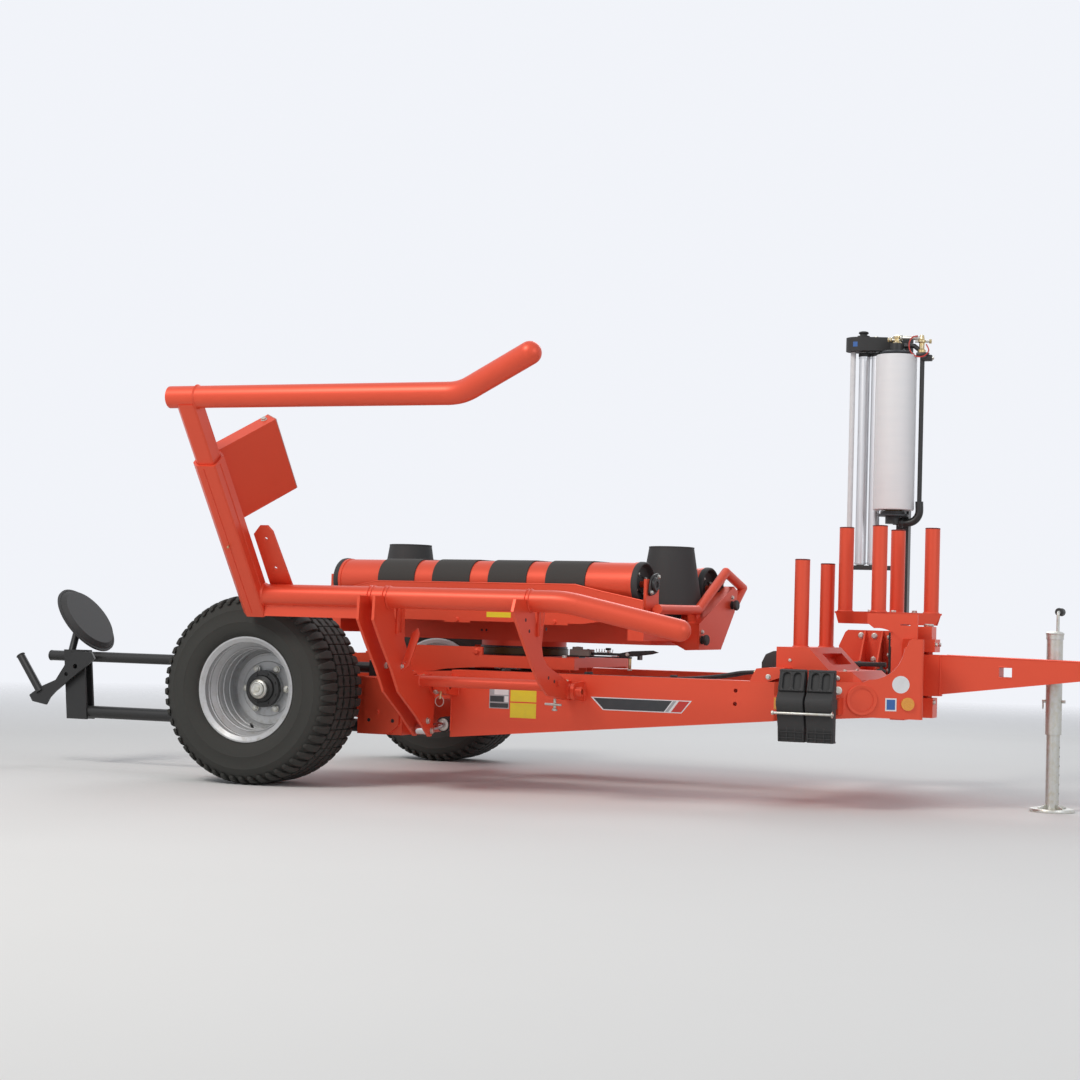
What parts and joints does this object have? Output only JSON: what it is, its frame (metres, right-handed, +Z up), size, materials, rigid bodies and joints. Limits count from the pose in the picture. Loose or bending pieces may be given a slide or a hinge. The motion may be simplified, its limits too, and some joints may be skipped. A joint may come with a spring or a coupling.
{
  "type": "trailed round bale wrapper",
  "caption": "Trailed machine that lifts a round bale onto a turning two-roller table and wraps it with film from an upright dispenser.",
  "frame": {"origin": "centre of the hitch eye's bore, at its middle", "axes": "+X forward, from the wheels to the hitch eye; +Y to the machine's left; +Z up, along the hitch eye's bore"},
  "size_m": [5.4783, 3.3267, 2.222],
  "materials": {
    "red_paint": "satin",
    "dark_red_paint": "satin",
    "black_paint": "satin",
    "zinc": "satin",
    "rim_silver": "satin",
    "tyre_rubber": "matt",
    "belt_rubber": "matt",
    "black_plastic": "matt",
    "amber": "gloss",
    "film": "gloss",
    "roller_alloy": "satin"
  },
  "bodies": {
    "chassis": {"chassis_frame": "red_paint", "front_frame": "red_paint", "hinge_post": "dark_red_paint", "roll_shelf": "red_paint", "roll_console": "red_paint", "axle_stubs": "dark_red_paint", "wheel_chocks": "black_plastic", "reflectors": "amber", "dispenser_base": "red_paint", "dispenser_mast": "black_paint", "dispenser_head": "black_paint", "tipper_frame": "black_paint"},
    "right_wheel": {"right_tyre": "tyre_rubber", "right_rim": "rim_silver"},
    "left_wheel": {"left_tyre": "tyre_rubber", "left_rim": "rim_silver"},
    "drawbar": {"drawbar_beam": "red_paint", "hitch_eye": "zinc", "jack_sleeve": "zinc"},
    "jack": {"jack_leg": "zinc"},
    "tilting_frame": {"tilt_frame": "dark_red_paint", "slewing_bearing": "black_paint", "film_cutter": "black_paint"},
    "tilt_barrel": {"tilt_cylinder_barrel": "black_paint"},
    "tilt_rod": {"tilt_cylinder_rod": "zinc"},
    "table": {"table_frame": "dark_red_paint", "table_belts": "belt_rubber", "table_guards": "red_paint", "table_end_frames": "red_paint"},
    "front_cone": {"front_guide_cone": "black_plastic"},
    "rear_cone": {"rear_guide_cone": "black_plastic"},
    "near_drum": {"near_roller": "red_paint"},
    "far_drum": {"far_roller": "red_paint"},
    "arm": {"arm_brackets": "red_paint", "arm_lower_tube": "red_paint", "mast_sleeve": "red_paint", "bale_stop": "red_paint"},
    "arm_barrel": {"arm_cylinder_barrel": "black_paint"},
    "arm_rod": {"arm_cylinder_rod": "zinc"},
    "mast_extension": {"mast_slide": "red_paint", "arm_upper_tube": "red_paint"},
    "film": {"film_roll": "film"},
    "stretch_front": {"stretch_roller_front": "roller_alloy"},
    "stretch_rear": {"stretch_roller_rear": "roller_alloy"},
    "disc": {"tipping_disc": "black_paint"}
  },
  "joints": [
    {"name": "right_wheel_spin", "type": "hinge", "parent": "chassis", "child": "right_wheel", "pos_m": [-3.85, -0.83, -0.186], "axis": [0, 1, 0], "continuous": true},
    {"name": "left_wheel_spin", "type": "hinge", "parent": "chassis", "child": "left_wheel", "pos_m": [-3.85, 1.25, -0.186], "axis": [0, 1, 0], "continuous": true},
    {"name": "drawbar_swing", "type": "hinge", "parent": "chassis", "child": "drawbar", "pos_m": [-1, 0, -0.04], "axis": [0, 0, 1], "range_deg": [-20, 20]},
    {"name": "jack_leg_slide", "type": "slide", "parent": "drawbar", "child": "jack", "axis": [0, 0, 1], "range_m": [0, 0.3]},
    {"name": "arm_swing", "type": "hinge", "parent": "chassis", "child": "arm", "pos_m": [-3.15, -0.65, -0.147], "axis": [1, 0, 0], "range_deg": [-28, 53]},
    {"name": "arm_barrel_swing", "type": "hinge", "parent": "chassis", "child": "arm_barrel", "pos_m": [-3.138, -0.015, -0.31], "axis": [1, 0, 0], "range_deg": [-8, 6]},
    {"name": "arm_rod_slide", "type": "slide", "parent": "arm_barrel", "child": "arm_rod", "axis": [0, -0.9987, -0.0503], "range_m": [-0.18, 0.1]},
    {"name": "mast_extend", "type": "slide", "parent": "arm", "child": "mast_extension", "axis": [0, -0.606, 0.7955], "range_m": [-0.2, 0.2]},
    {"name": "table_tilt", "type": "hinge", "parent": "chassis", "child": "tilting_frame", "pos_m": [-3.7, 0.21, -0.05], "axis": [0, -1, 0], "range_deg": [0, 45]},
    {"name": "tilt_barrel_swing", "type": "hinge", "parent": "chassis", "child": "tilt_barrel", "pos_m": [-3.23, 0.21, -0.31], "axis": [0, -1, 0], "range_deg": [0, 53]},
    {"name": "tilt_rod_slide", "type": "slide", "parent": "tilt_barrel", "child": "tilt_rod", "axis": [0.9356, 0, 0.3531], "range_m": [0, 0.4]},
    {"name": "table_turn", "type": "hinge", "parent": "tilting_frame", "child": "table", "pos_m": [-3, 0.21, 0.035], "axis": [0, 0, 1], "continuous": true},
    {"name": "front_cone_spin", "type": "hinge", "parent": "table", "child": "front_cone", "pos_m": [-2.2619, 0.2022, 0.29], "axis": [0, 0, 1], "continuous": true},
    {"name": "rear_cone_spin", "type": "hinge", "parent": "table", "child": "rear_cone", "pos_m": [-3.71165, 0.40595, 0.29], "axis": [0, 0, 1], "continuous": true},
    {"name": "near_roller_spin", "type": "hinge", "parent": "table", "child": "near_drum", "pos_m": [-3.04871, -0.13659, 0.335], "axis": [0.9903, -0.1392, 0], "continuous": true},
    {"name": "far_roller_spin", "type": "hinge", "parent": "table", "child": "far_drum", "pos_m": [-2.95129, 0.55659, 0.335], "axis": [0.9903, -0.1392, 0], "continuous": true},
    {"name": "film_roll_spin", "type": "hinge", "parent": "chassis", "child": "film", "pos_m": [-1.335, 0.79, 1.09], "axis": [0, 0, 1], "continuous": true},
    {"name": "stretch_front_spin", "type": "hinge", "parent": "chassis", "child": "stretch_front", "pos_m": [-1.446, 0.866, 0.99], "axis": [0, 0, 1], "continuous": true},
    {"name": "stretch_rear_spin", "type": "hinge", "parent": "chassis", "child": "stretch_rear", "pos_m": [-1.508, 0.866, 0.99], "axis": [0, 0, 1], "continuous": true},
    {"name": "disc_spin", "type": "hinge", "parent": "chassis", "child": "disc", "pos_m": [-5.116, -0.342, 0.104], "axis": [0.7986, 0, 0.6018], "continuous": true}
  ],
  "couplings": [
    {"joint": "arm_barrel_swing", "follows": "arm_swing", "ratio": -0.08},
    {"joint": "arm_rod_slide", "follows": "arm_swing", "m_per_rad": -0.17361},
    {"joint": "tilt_barrel_swing", "follows": "table_tilt", "ratio": 1.167},
    {"joint": "tilt_rod_slide", "follows": "table_tilt", "m_per_rad": 0.50866},
    {"joint": "far_roller_spin", "follows": "near_roller_spin", "ratio": 1},
    {"joint": "stretch_rear_spin", "follows": "stretch_front_spin", "ratio": -1.5}
  ]
}
